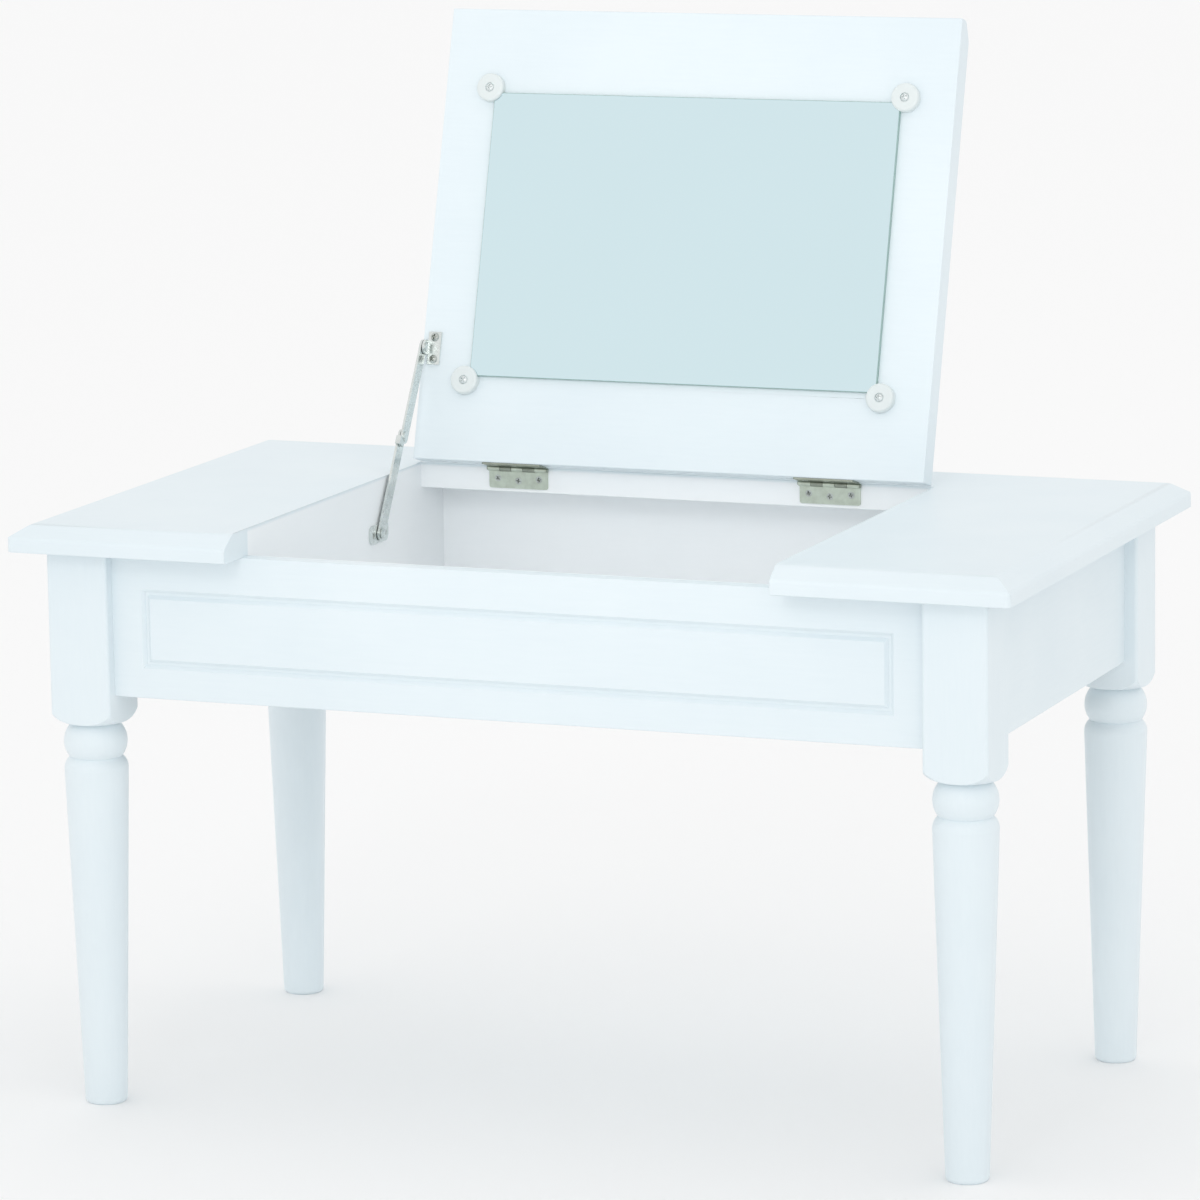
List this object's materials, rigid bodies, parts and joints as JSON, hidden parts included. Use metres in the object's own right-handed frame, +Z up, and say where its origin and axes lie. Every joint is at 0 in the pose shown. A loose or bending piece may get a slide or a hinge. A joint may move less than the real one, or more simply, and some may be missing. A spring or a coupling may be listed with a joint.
{
  "type": "vanity table",
  "caption": "Low white vanity table on turned legs with a lift-up lid that carries a mirror over a storage box.",
  "frame": {"origin": "on the floor, under the middle of the table top", "axes": "+X to the table's right as seen by a person sitting at it, +Y to its back, +Z up"},
  "size_m": [0.7, 0.4081, 0.7123],
  "materials": {
    "white_paint": "white satin lacquer over solid wood and board",
    "raw_wood": "bare pine",
    "mirror": "silvered float glass",
    "clip_plastic": "translucent white plastic",
    "hinge_nickel": "satin nickel plate",
    "stay_nickel": "bright nickel plate",
    "screw_steel": "nickel-plated steel",
    "zinc": "bright zinc plate"
  },
  "bodies": {
    "table": {"top_frame": "white_paint", "front_apron": "white_paint", "back_apron": "white_paint", "left_apron": "white_paint", "right_apron": "white_paint", "left_box_wall": "white_paint", "right_box_wall": "white_paint", "box_floor": "white_paint", "front_left_leg": "white_paint", "front_right_leg": "white_paint", "back_right_leg": "white_paint", "back_left_leg": "white_paint", "front_left_corner_block": "raw_wood", "front_right_corner_block": "raw_wood", "back_right_corner_block": "raw_wood", "back_left_corner_block": "raw_wood", "hanger_bolts": "zinc", "hanger_washers": "zinc", "hanger_nuts": "zinc", "top_screws": "zinc", "hinge_rail_screws": "screw_steel", "stay_wall_screws": "screw_steel", "left_hinge_rail_leaf": "hinge_nickel", "left_hinge_pin": "hinge_nickel", "right_hinge_rail_leaf": "hinge_nickel", "right_hinge_pin": "hinge_nickel", "stay_wall_plate": "stay_nickel", "stay_wall_rivet": "stay_nickel"},
    "lid": {"lid_panel": "white_paint", "mirror_glass": "mirror", "lower_left_mirror_clip": "clip_plastic", "upper_left_mirror_clip": "clip_plastic", "upper_right_mirror_clip": "clip_plastic", "lower_right_mirror_clip": "clip_plastic", "mirror_clip_screws": "screw_steel", "left_hinge_lid_leaf": "hinge_nickel", "right_hinge_lid_leaf": "hinge_nickel", "hinge_lid_screws": "screw_steel", "stay_lid_bracket": "stay_nickel", "stay_lid_rivet": "stay_nickel", "stay_lid_screws": "screw_steel"},
    "stay_lower_arm": {"stay_lower_arm": "stay_nickel", "stay_elbow_tail": "stay_nickel"},
    "stay_upper_arm": {"stay_upper_arm": "stay_nickel", "stay_elbow_rivet": "stay_nickel"}
  },
  "joints": [
    {"name": "lid_hinge", "type": "hinge", "parent": "table", "child": "lid", "pos_m": [0, 0.1217, 0.3986], "axis": [1, 0, 0], "range_deg": [0, 106]},
    {"name": "stay_wall_pivot", "type": "hinge", "parent": "table", "child": "stay_lower_arm", "pos_m": [-0.1873, 0.047, 0.362], "axis": [1, 0, 0], "range_deg": [-0.5, 121.09]},
    {"name": "stay_lid_pivot", "type": "hinge", "parent": "lid", "child": "stay_upper_arm", "pos_m": [-0.1853, 0.12153, 0.48218], "axis": [1, 0, 0], "range_deg": [-154.72, 0.5]}
  ],
  "couplings": [
    {"joint": "stay_wall_pivot", "follows": "lid_hinge", "ratio": 1.1377},
    {"joint": "stay_lid_pivot", "follows": "lid_hinge", "ratio": -1.4549}
  ]
}
